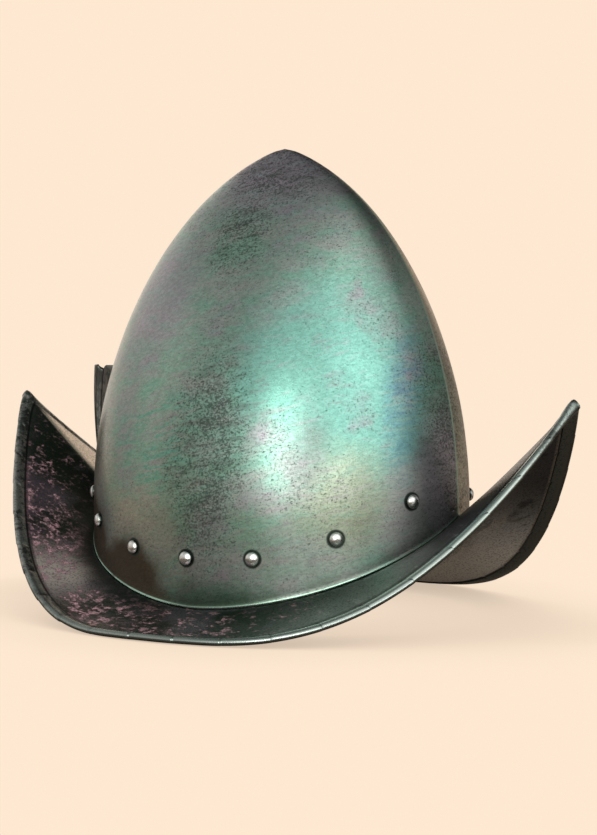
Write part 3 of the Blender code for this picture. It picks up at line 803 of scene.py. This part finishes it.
def brim_finish():
    f = Finish("brim_steel")
    f.wander = f.clouds(34, 3, 0.6)
    inward, underside = f.attribute("inward"), f.attribute("underside")
    blotch = f.clouds(80, 4, 0.6, 0.4, f.drawn(2.4, 1.4, 1.0))
    flakes = f.clouds(900, 3, 0.65, 0.3, f.drawn(1.6, 1.2, 1.0))
    streaks = f.clouds(260, 4, 0.6, 0.3, f.drawn(6, 3, 1.0))
    speckle = f.clouds(900, 3, 0.65)

    # the darkened plate
    f.colour = f.blend(f.step(blotch, 0.42, 0.62), BLACKED, DEEP_GREEN)
    f.paint(f.step(f.wander, 0.46, 0.64, 0, 0.85), PURPLE)
    f.paint(f.step(f.axis(0), 0.02, 0.07, 0, 0.9), LEADEN)
    f.paint(f.step(f.axis(0), 0.100, 0.132, 0, 0.92), NEARLY_BLACK)
    # a painted sheen: the pale floor's reflection low on the rear of the brim
    sheen = f.near(*SHEEN)
    f.paint(sheen, FLOOR_SHEEN_GREY)
    f.paint(f.times(f.near(*OUTER_REAR), 0.8), PURPLE)
    f.paint(f.near(*CREASE), DEEP_GREEN)

    # rose-grey flakes of old finish, which hold on where hands have rubbed least
    rubbed = f.larger(f.near(*RUBBED_PEAK), f.times(f.near(*RUBBED_MIDDLE), 0.7))
    rubbed = f.larger(rubbed, f.times(f.near(*RUBBED_LOW), 0.6))
    rubbed = f.times(rubbed, f.step(f.axis(0), 0.020, 0.070, 1, 0))
    patches = f.clouds(430, 6, 0.72, 0.4, f.drawn(2.0, 1.3, 1.0))
    patches = f.plus(patches, f.times(rubbed, 0.13))
    patches = f.plus(patches, f.step(f.clouds(110, 3, 0.6), 0.35, 0.65, -0.07, 0.07))
    patches = f.plus(patches, f.step(f.axis(0), 0.05, 0.10, 0, -0.12))
    film = f.times(f.step(patches, 0.58, 0.72), f.step(flakes, 0.36, 0.56, 0.3, 1))
    f.paint(f.step(patches, 0.52, 0.66, 0, 0.7), FADED_ROSE)
    f.paint(film, ROSE)
    f.paint(f.step(streaks, 0.58, 0.70, 0, 0.15), SMOKED)

    # painted shade on the plate beside the joint, and a painted reflection of the pale backdrop on
    # the far halves of the peaks
    beside_joint = f.plus(inward, f.times(f.minus(blotch, 0.5), 0.6))
    beside_joint = f.step(beside_joint, 2.45, 2.95)
    beside_joint = f.times(beside_joint, f.step(f.axis(0), -0.06, 0.02, 0.9, 0.4))
    f.paint(beside_joint, SOOT_AND_SHADE)
    on_peak = f.step(f.sum("ABSOLUTE", f.axis(0)), 0.07, 0.11)
    far_side = f.times(f.step(f.axis(1), 0.002, 0.010), on_peak)
    f.paint(f.times(far_side, 0.85), PALE_REFLECTION)

    # the groove beside the roll, and the roll with its bright crown
    groove = f.times(f.step(inward, 1.00, 1.08), f.step(inward, 1.17, 1.27, 1, 0))
    f.paint(f.times(groove, 0.85), SOOT_AND_SHADE)
    rolled = f.blend(f.step(blotch, 0.40, 0.60), ROLL_GREEN, ROLL_DARK)
    scaly = f.step(patches, 0.50, 0.64, 0, 0.8)
    scaly = f.times(scaly, f.step(f.axis(0), -0.12, -0.05, 1, 0))
    rolled = f.blend(scaly, rolled, SCALE_GREY)
    worn = f.step(inward, 0.62, 0.84, 1, 0)
    worn = f.times(worn, f.step(f.axis(0), -0.13, 0.03, 0.10, 1))
    worn = f.times(worn, f.step(f.axis(0), 0.162, 0.177, 1, 0.1))
    rolled = f.blend(worn, rolled, BURNISHED)
    f.paint(f.step(inward, 0.98, 1.06, 1, 0), rolled)

    # the underside, with the flap of the roll and the seam where it ends
    below = f.blend(f.step(f.wander, 0.40, 0.62), DULL, SMOKED)
    below = f.blend(f.step(streaks, 0.56, 0.76, 0, 0.4), below, SMOKED)
    sooty = f.plus(blotch, f.step(inward, 1.7, 2.0, 0.08, 0))
    below = f.blend(f.step(sooty, 0.52, 0.66, 0, 0.7), below, SOOT_AND_SHADE)
    # the underside darker higher up under the peaks, and low down a painted reflection of the pale
    # floor
    below = f.blend(f.step(f.axis(2), 0.035, 0.078, 0, 0.85), below, NEARLY_BLACK)
    pale_foot_reflection = f.step(f.axis(2), 0.016, 0.062, 0.95, 0)
    below = f.blend(pale_foot_reflection, below, PALE_REFLECTION)
    below = f.blend(f.step(inward, 1.30, 1.36, 1, 0), below, FLAP_GREY)
    below = f.blend(f.step(inward, 0.10, 0.50, 0.7, 0), below, SOOT_AND_SHADE)
    seam = f.times(f.step(inward, 1.30, 1.34), f.step(inward, 1.40, 1.50, 1, 0))
    below = f.blend(seam, below, SOOT_AND_SHADE)
    f.paint(underside, below)
    dusty = f.step(speckle, 0.36, 0.52, 0.6, 0.0)
    dusty = f.times(dusty, f.rest_of(f.times(worn, 0.8)))
    f.paint(dusty, SOOT_AND_SHADE)

    rough = f.step(speckle, 0.35, 0.65, 0.42, 0.30)
    rough = f.minus(rough, f.times(worn, 0.10))
    height = f.plus(f.times(flakes, 0.5), f.times(speckle, 0.5))
    height = f.times(height, f.rest_of(f.times(worn, 0.8)))
    dry = f.larger(f.times(film, 0.7), f.times(sheen, 0.35))
    dry = f.times(dry, f.rest_of(beside_joint))
    dry = f.blend_value(underside, dry, f.times(pale_foot_reflection, 0.85))
    metal = f.rest_of(f.times(dry, f.step(inward, 1.3, 1.5)))
    return f.finish(rough, f.bump(height, 0.30, 0.00010), metal)


brim.data.materials.append(brim_finish())

# The rivets
# Turned-over heads of bright mild steel, set cold with a cupped punch. Each holds the collar to
# the skull, and its tail is hammered down inside. Wear has kept the crowns bright.
HEAD_RISE = 0.0030
HEAD_SIDES = 28
HEAD_RINGS = 9
TAIL_RADIUS = 0.0030
TAIL_THICKNESS = 0.0014
SHANK_RADIUS = 0.0018
THROUGH_COLLAR = SKULL_WALL + COLLAR_GAP + BRIM_WALL
HEAD_SUNK = 0.0003         # the head's rim sits this far into the skull's waves
KNOCK = 0.035              # how far out of round a head is
HEAD_DENT = 0.00012        # depth of its small dents
HEAD_DENT_WAVE = 0.002


def rivet_profile(rise, sunk, grip):
    """Radius and height down the head, the shank and the tail."""
    rows = []
    for i in range(1, HEAD_RINGS + 1):
        turn = math.pi / 2 * i / HEAD_RINGS
        rows.append((RIVET_HEAD_RADIUS * math.sin(turn), rise * math.cos(turn) ** 0.85))
    rows += [(RIVET_HEAD_RADIUS * 0.985, -sunk), (SHANK_RADIUS, -sunk), (SHANK_RADIUS, -grip)]
    rows += [(TAIL_RADIUS, -grip), (TAIL_RADIUS * 0.96, -grip - TAIL_THICKNESS * 0.7)]
    rows.append((TAIL_RADIUS * 0.7, -grip - TAIL_THICKNESS))
    return rows


def make_rivet(name, node, seat, rise, sunk, grip, seed):
    """A rivet whose axis leaves the skull square to it."""
    point, normal = seat
    placing = Matrix.Translation(point) @ normal.to_track_quat("Z", "Y").to_matrix().to_4x4()
    profile = rivet_profile(rise, sunk, grip)
    rings = []
    for radius, z in profile:
        ring = []
        for i in range(HEAD_SIDES):
            turn = 2 * math.pi * i / HEAD_SIDES
            along, aside = math.cos(turn), math.sin(turn)
            across = radius * (1 + KNOCK * noise.noise(Vector((along, aside, seed * 3.7))))
            spot = Vector((radius * along, radius * aside, seed))
            dent = HEAD_DENT * noise.noise(spot / HEAD_DENT_WAVE)
            ring.append(placing @ Vector((across * along, across * aside, z + dent)))
        rings.append(ring)
    grip_end = -grip - TAIL_THICKNESS
    tips = ((0, placing @ Vector((0, 0, rise))), (-1, placing @ Vector((0, 0, grip_end))))
    heights = [z for _, z in profile for _ in range(HEAD_SIDES)] + [rise]
    piece = make_mesh(name, rings, tips=tips, attributes={"height": heights})
    piece.data.set_sharp_from_angle(angle=math.radians(40))
    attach(piece, "root")
    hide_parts(node)
    return piece


BRIGHT = (0.900, 0.920, 0.890)
CLOUDED = (0.560, 0.580, 0.560)


def rivet_finish():
    f = Finish("rivet_steel")
    hazy = f.clouds(240, 3, 0.6)
    scuffs = f.clouds(1300, 3, 0.6)
    f.colour = f.blend(f.step(hazy, 0.50, 0.66, 0, 0.7), BRIGHT, CLOUDED)
    f.paint(f.step(scuffs, 0.56, 0.70, 0, 0.5), SOOT_AND_SHADE)
    # painted shade darkening the foot of each head
    f.paint(f.step(f.attribute("height"), 0.00070, 0.00150, 0.95, 0), SOOT_AND_SHADE)
    rough = f.step(scuffs, 0.3, 0.7, 0.20, 0.32)
    return f.finish(rough, f.bump(scuffs, 0.12, 0.00004))


bright = rivet_finish()
for number, seat in enumerate(rivet_seats, 1):
    name, node = f"domed_rivet_{number:02d}", f"rivet_{number:02d}"
    head = make_rivet(name, node, seat, HEAD_RISE, HEAD_SUNK, THROUGH_COLLAR, number)
    head.data.materials.append(bright)

# The plume holder
# A tapered tube folded from thin sheet with a groove pressed down each side, on a short strap
# that runs down the rear ridge. One rivet goes through the strap and one through the tube.
HEEL_ABOVE_RIVET = 0.0156
HOLDER_LENGTH = 0.0515
HOLDER_DEPTH_MOUTH = 0.0235
HOLDER_DEPTH_HEEL = 0.0135
HOLDER_HALF_WIDTH_MOUTH = 0.0100
HOLDER_HALF_WIDTH_HEEL = 0.0062
HOLDER_WALL = 0.0014
SEAT_SHARE = 0.72
GROOVE_DEPTH = 0.26
GROOVE_PLACE = -0.20
GROOVE_SPREAD = 0.30
MOUTH_NOTCH = 0.0032
STRAP_WIDTH = 0.0120
STRAP_ABOVE_JOINT = 0.0040
UPPER_RIVET_ABOVE_HEEL = 0.0260
HOLDER_FLOOR = 0.0030
STRAP_LAP = 0.0060
LEFT_LIP_DROP = 0.0042     # the lip on the wearer's left is worn lower
SOCKET_SIDES = 120
SOCKET_ROWS = 30
STRAP_ROWS = 14
STRAP_SIDES = 24
STRAP_RIVET_RISE = 0.0016
STRAP_RIVET_SUNK = 0.0002
STRAP_RIVET_GRIP = 0.0006  # how far these tails stand clear inside
IRON_DARK = (0.105, 0.110, 0.105)
IRON_GREY = (0.200, 0.205, 0.200)
HEEL = rivet_height(math.pi) + HEEL_ABOVE_RIVET
MOUTH = HEEL + HOLDER_LENGTH


def ridge_x(z):
    return seat_of(z, math.pi)[0].x


def taper(z, at_heel, at_mouth):
    return at_heel + (at_mouth - at_heel) * (z - HEEL) / HOLDER_LENGTH


def socket_ring(z, inset, mouth=0.0):
    """One ring of the tube, inset from its outer face. The mouth dips at the grooves."""
    half_width = taper(z, HOLDER_HALF_WIDTH_HEEL, HOLDER_HALF_WIDTH_MOUTH)
    front = ridge_x(z) - JOINT_GAP - inset
    back = ridge_x(z) - taper(z, HOLDER_DEPTH_HEEL, HOLDER_DEPTH_MOUTH) + inset
    middle, half_depth = (front + back) / 2, (front - back) / 2
    ring = []
    for i in range(SOCKET_SIDES):
        turn = 2 * math.pi * i / SOCKET_SIDES
        away = abs(math.cos(turn) - GROOVE_PLACE) / GROOVE_SPREAD
        nearness = 0.5 + 0.5 * math.cos(math.pi * min(1.0, away))
        pinch = max(0.0, 1 - away)
        width = (half_width - inset) * (1 - GROOVE_DEPTH * nearness)
        dip = mouth * MOUTH_NOTCH * (0.4 * nearness + 0.6 * pinch)
        dip += mouth * LEFT_LIP_DROP * max(0.0, math.sin(turn)) ** 0.7
        reach = half_depth * min(1.0, max(math.cos(turn), math.cos(turn) / SEAT_SHARE))
        ring.append(Vector((middle + reach, width * math.sin(turn), z - dip)))
    return ring


def holder_rings():
    """Rings up the outside, over the thin edge of the mouth and down the inside to the floor."""
    bend = HOLDER_WALL / 2
    rings = [socket_ring(HEEL + 0.0004, 0.0006)]
    for i in range(SOCKET_ROWS):
        z = HEEL + 0.0010 + (MOUTH - bend - HEEL - 0.0010) * i / (SOCKET_ROWS - 1)
        rings.append(socket_ring(z, 0, (i / (SOCKET_ROWS - 1)) ** 6))
    for i in range(1, 6):
        turn = math.pi * i / 6
        z = MOUTH - bend + bend * math.sin(turn)
        rings.append(socket_ring(z, bend - bend * math.cos(turn), 1))
    for i in range(SOCKET_ROWS, -1, -1):
        z = HEEL + HOLDER_FLOOR + (MOUTH - bend - HEEL - HOLDER_FLOOR) * i / SOCKET_ROWS
        rings.append(socket_ring(z, HOLDER_WALL, (i / SOCKET_ROWS) ** 6))
    return rings


def strap_rings():
    """Rounded bars across the strap, from its lower end up into the tube."""
    low, high = JOINT_REAR + STRAP_ABOVE_JOINT, HEEL + STRAP_LAP
    rings = []
    for i in range(STRAP_ROWS + 1):
        z = low + (high - low) * i / STRAP_ROWS
        front = ridge_x(z) - JOINT_GAP
        round_end = math.sqrt(max(0.0, 1 - (1 - min(1.0, (i + 0.6) / 3)) ** 2))
        half = STRAP_WIDTH / 2 * (0.55 + 0.45 * round_end)
        ring = []
        for k in range(STRAP_SIDES):
            turn = 2 * math.pi * k / STRAP_SIDES
            across = math.copysign(abs(math.cos(turn)) ** 0.35, math.cos(turn)) * half
            through = math.copysign(abs(math.sin(turn)) ** 0.6, math.sin(turn)) * HOLDER_WALL / 2
            ring.append(Vector((front - HOLDER_WALL / 2 + through, across, z)))
        rings.append(ring)
    return rings


def holder_finish():
    f = Finish("holder_steel")
    hazy = f.clouds(60, 3, 0.6)
    scale_marks = f.clouds(520, 4, 0.6, 0.3, f.drawn(1, 1, 2.5))
    f.colour = f.blend(f.step(hazy, 0.40, 0.62), IRON_DARK, IRON_GREY)
    f.paint(f.step(scale_marks, 0.38, 0.54, 0.6, 0), SOOT_AND_SHADE)
    rough = f.step(scale_marks, 0.3, 0.7, 0.42, 0.28)
    return f.finish(rough, f.bump(scale_marks, 0.3, 0.0001))


def closed_piece(name, rings):
    ends = [(r, sum(rings[r], Vector()) / len(rings[r])) for r in (0, -1)]
    return make_mesh(name, rings, tips=ends)


holder = closed_piece("plume_tube", holder_rings())
strap = closed_piece("strap", strap_rings())
both = bmesh.new()
both.from_mesh(holder.data)
both.from_mesh(strap.data)
both.to_mesh(holder.data)
both.free()
bpy.data.meshes.remove(strap.data)
holder.data.set_sharp_from_angle(angle=math.radians(55))
holder.data.materials.append(holder_finish())
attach(holder, "root")
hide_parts("plume_holder")
through_holder = HOLDER_WALL + 2 * JOINT_GAP
lower_height = rivet_height(math.pi)
for name, node, height, grip in (
    ("strap_rivet", "plume_rivet_lower", lower_height, THROUGH_COLLAR),
    ("tube_rivet", "plume_rivet_upper", HEEL + UPPER_RIVET_ABOVE_HEEL, SKULL_WALL),
):
    point, normal = seat_of(height, math.pi)
    seat = (point + through_holder * normal, normal)
    grip += STRAP_RIVET_GRIP + through_holder
    piece = make_rivet(name, node, seat, STRAP_RIVET_RISE, STRAP_RIVET_SUNK, grip, 40)
    piece.data.materials.append(bright)

# The studio
# A pale paper floor that runs out of sight, a low card and a soft lamp beside the camera, and
# white and warm sheets hung round the room, the brightest ahead of the helmet on its right.
PAPER = (0.991, 0.807, 0.638)
FLOOR_RADIUS = 6.0
SHADOW_REACH = 0.11
SHADOW_DEPTH = 0.60        # brightness of the paper right under the helmet
FLOOR_CENTRE = (0, 0, 0)
FLOOR_NEAR = 0.12          # what the steel mirrors of the floor, close by and farther out
FLOOR_FAR = 0.50
FLOOR_NEAR_REACH = 0.25
FLOOR_FAR_REACH = 0.65

floor_mesh = bmesh.new()
bmesh.ops.create_circle(floor_mesh, cap_ends=True, segments=96, radius=FLOOR_RADIUS)
floor_data = bpy.data.meshes.new("floor")
floor_mesh.to_mesh(floor_data)
floor_mesh.free()
floor = bpy.data.objects.new("floor", floor_data)
floor.location.z = cad_box[0][2] - 0.0002
bpy.context.scene.collection.objects.link(floor)


def floor_finish():
    material = bpy.data.materials.new("paper_floor")
    material.use_nodes = True
    tree = material.node_tree
    tree.nodes.remove(tree.nodes["Principled BSDF"])
    shade = add_node(tree, "ShaderNodeAmbientOcclusion", {"Distance": SHADOW_REACH}, samples=16)
    inputs = {"Value": shade.outputs["AO"], "To Min": SHADOW_DEPTH}
    shade = add_node(tree, "ShaderNodeMapRange", inputs)
    inputs = {"Factor": 1.0, 6: PAPER, 7: shade.outputs[0]}
    tint = add_node(tree, "ShaderNodeMix", inputs, data_type="RGBA", blend_type="MULTIPLY")
    inputs = {0: add_node(tree, "ShaderNodeNewGeometry").outputs["Position"], 1: FLOOR_CENTRE}
    away = add_node(tree, "ShaderNodeVectorMath", inputs, operation="DISTANCE")
    reach = (FLOOR_NEAR_REACH, FLOOR_FAR_REACH, FLOOR_NEAR, FLOOR_FAR)
    spread = smooth_step(tree, away.outputs["Value"], *reach)
    seen = add_node(tree, "ShaderNodeLightPath").outputs["Is Camera Ray"]
    seen = add_node(tree, "ShaderNodeMath", {0: seen, 1: spread}, operation="MAXIMUM")
    inputs = {"Color": tint.outputs[2], "Strength": seen.outputs[0]}
    glow = add_node(tree, "ShaderNodeEmission", inputs)
    put(tree, tree.nodes["Material Output"].inputs["Surface"], glow.outputs[0])
    return material


def towards(turn, rise):
    """A direction turned from the camera's towards the right, and raised, both in degrees."""
    turn, rise = math.radians(turn), math.radians(rise)
    flat = Vector((to_viewer.x, to_viewer.y, 0)).normalized()
    level = math.cos(turn) * flat + math.sin(turn) * to_right
    return math.cos(rise) * level + math.sin(rise) * UP


floor.data.materials.append(floor_finish())

CENTRE = Vector((0, 0, 0.12))
# turn and rise in degrees, distance, width, height, brightness of the face, colour
LAMPS = {
    "low_card": (4, 1, 1.6, 1.35, 0.42, 2.3, (1.0, 1.0, 0.96)),
    "bare_lamp": (-14, 16, 1.6, 0.56, 0.66, 4.0, (1.0, 1.0, 0.93)),
}
for name, (turn, rise, distance, width, height, brightness, colour) in LAMPS.items():
    data = bpy.data.lights.new(name, "AREA")
    data.shape = "RECTANGLE"
    data.size = width
    data.size_y = height
    data.energy = brightness * math.pi * width * height
    data.color = colour
    lamp = bpy.data.objects.new(name, data)
    way = towards(turn, rise)
    lamp.location = CENTRE + distance * way
    lamp.rotation_euler = way.to_track_quat("Z", "Y").to_euler()
    lamp.visible_camera = False
    bpy.context.scene.collection.objects.link(lamp)

WHITE_SHEET = (1.0, 1.0, 0.97)
WARM_SHEET = (1.0, 0.94, 0.87)
# The soft sheets round the room, the last ones the paper behind the helmet: turn and rise of
# each in degrees, how bright its middle is, and its colour.
ROOM_SHEETS = (
    (30, 12, 1.20, WHITE_SHEET),
    (40, 45, 0.92, WHITE_SHEET),
    (0, 45, 0.68, WHITE_SHEET),
    (60, 12, 0.48, WHITE_SHEET),
    (105, 12, 0.30, WARM_SHEET),
    (-30, 12, 0.55, WHITE_SHEET),
    (-45, 45, 0.34, WHITE_SHEET),
    (0, 78, 0.05, WHITE_SHEET),
    (-90, 12, 0.57, WARM_SHEET),
    (-115, 45, 0.34, WHITE_SHEET),
    (-150, 12, 0.70, WARM_SHEET),
    (175, 15, 0.80, PAPER),
)
SHEET_SPREAD = math.cos(math.radians(38))
ROOM_DIM = (0.02, 0.02, 0.02)


def make_world():
    world = bpy.data.worlds.new("studio")
    world.use_nodes = True
    tree = world.node_tree
    way = add_node(tree, "ShaderNodeTexCoord").outputs["Generated"]
    total = ROOM_DIM
    for turn, rise, brightness, colour in ROOM_SHEETS:
        inputs = {0: way, 1: towards(turn, rise)}
        facing = add_node(tree, "ShaderNodeVectorMath", inputs, operation="DOT_PRODUCT")
        lit = smooth_step(tree, facing.outputs["Value"], SHEET_SPREAD, 1.0, 0.0, brightness)
        inputs = {0: colour, 1: lit, 2: total}
        sheet = add_node(tree, "ShaderNodeVectorMath", inputs, operation="MULTIPLY_ADD")
        total = sheet.outputs[0]
    seen = add_node(tree, "ShaderNodeLightPath").outputs["Is Camera Ray"]
    seen = add_node(tree, "ShaderNodeMix", {"Factor": seen, 6: total, 7: PAPER}, data_type="RGBA")
    put(tree, tree.nodes["Background"].inputs["Color"], seen.outputs[2])
    bpy.context.scene.world = world


make_world()
bpy.context.scene.view_settings.view_transform = "Standard"
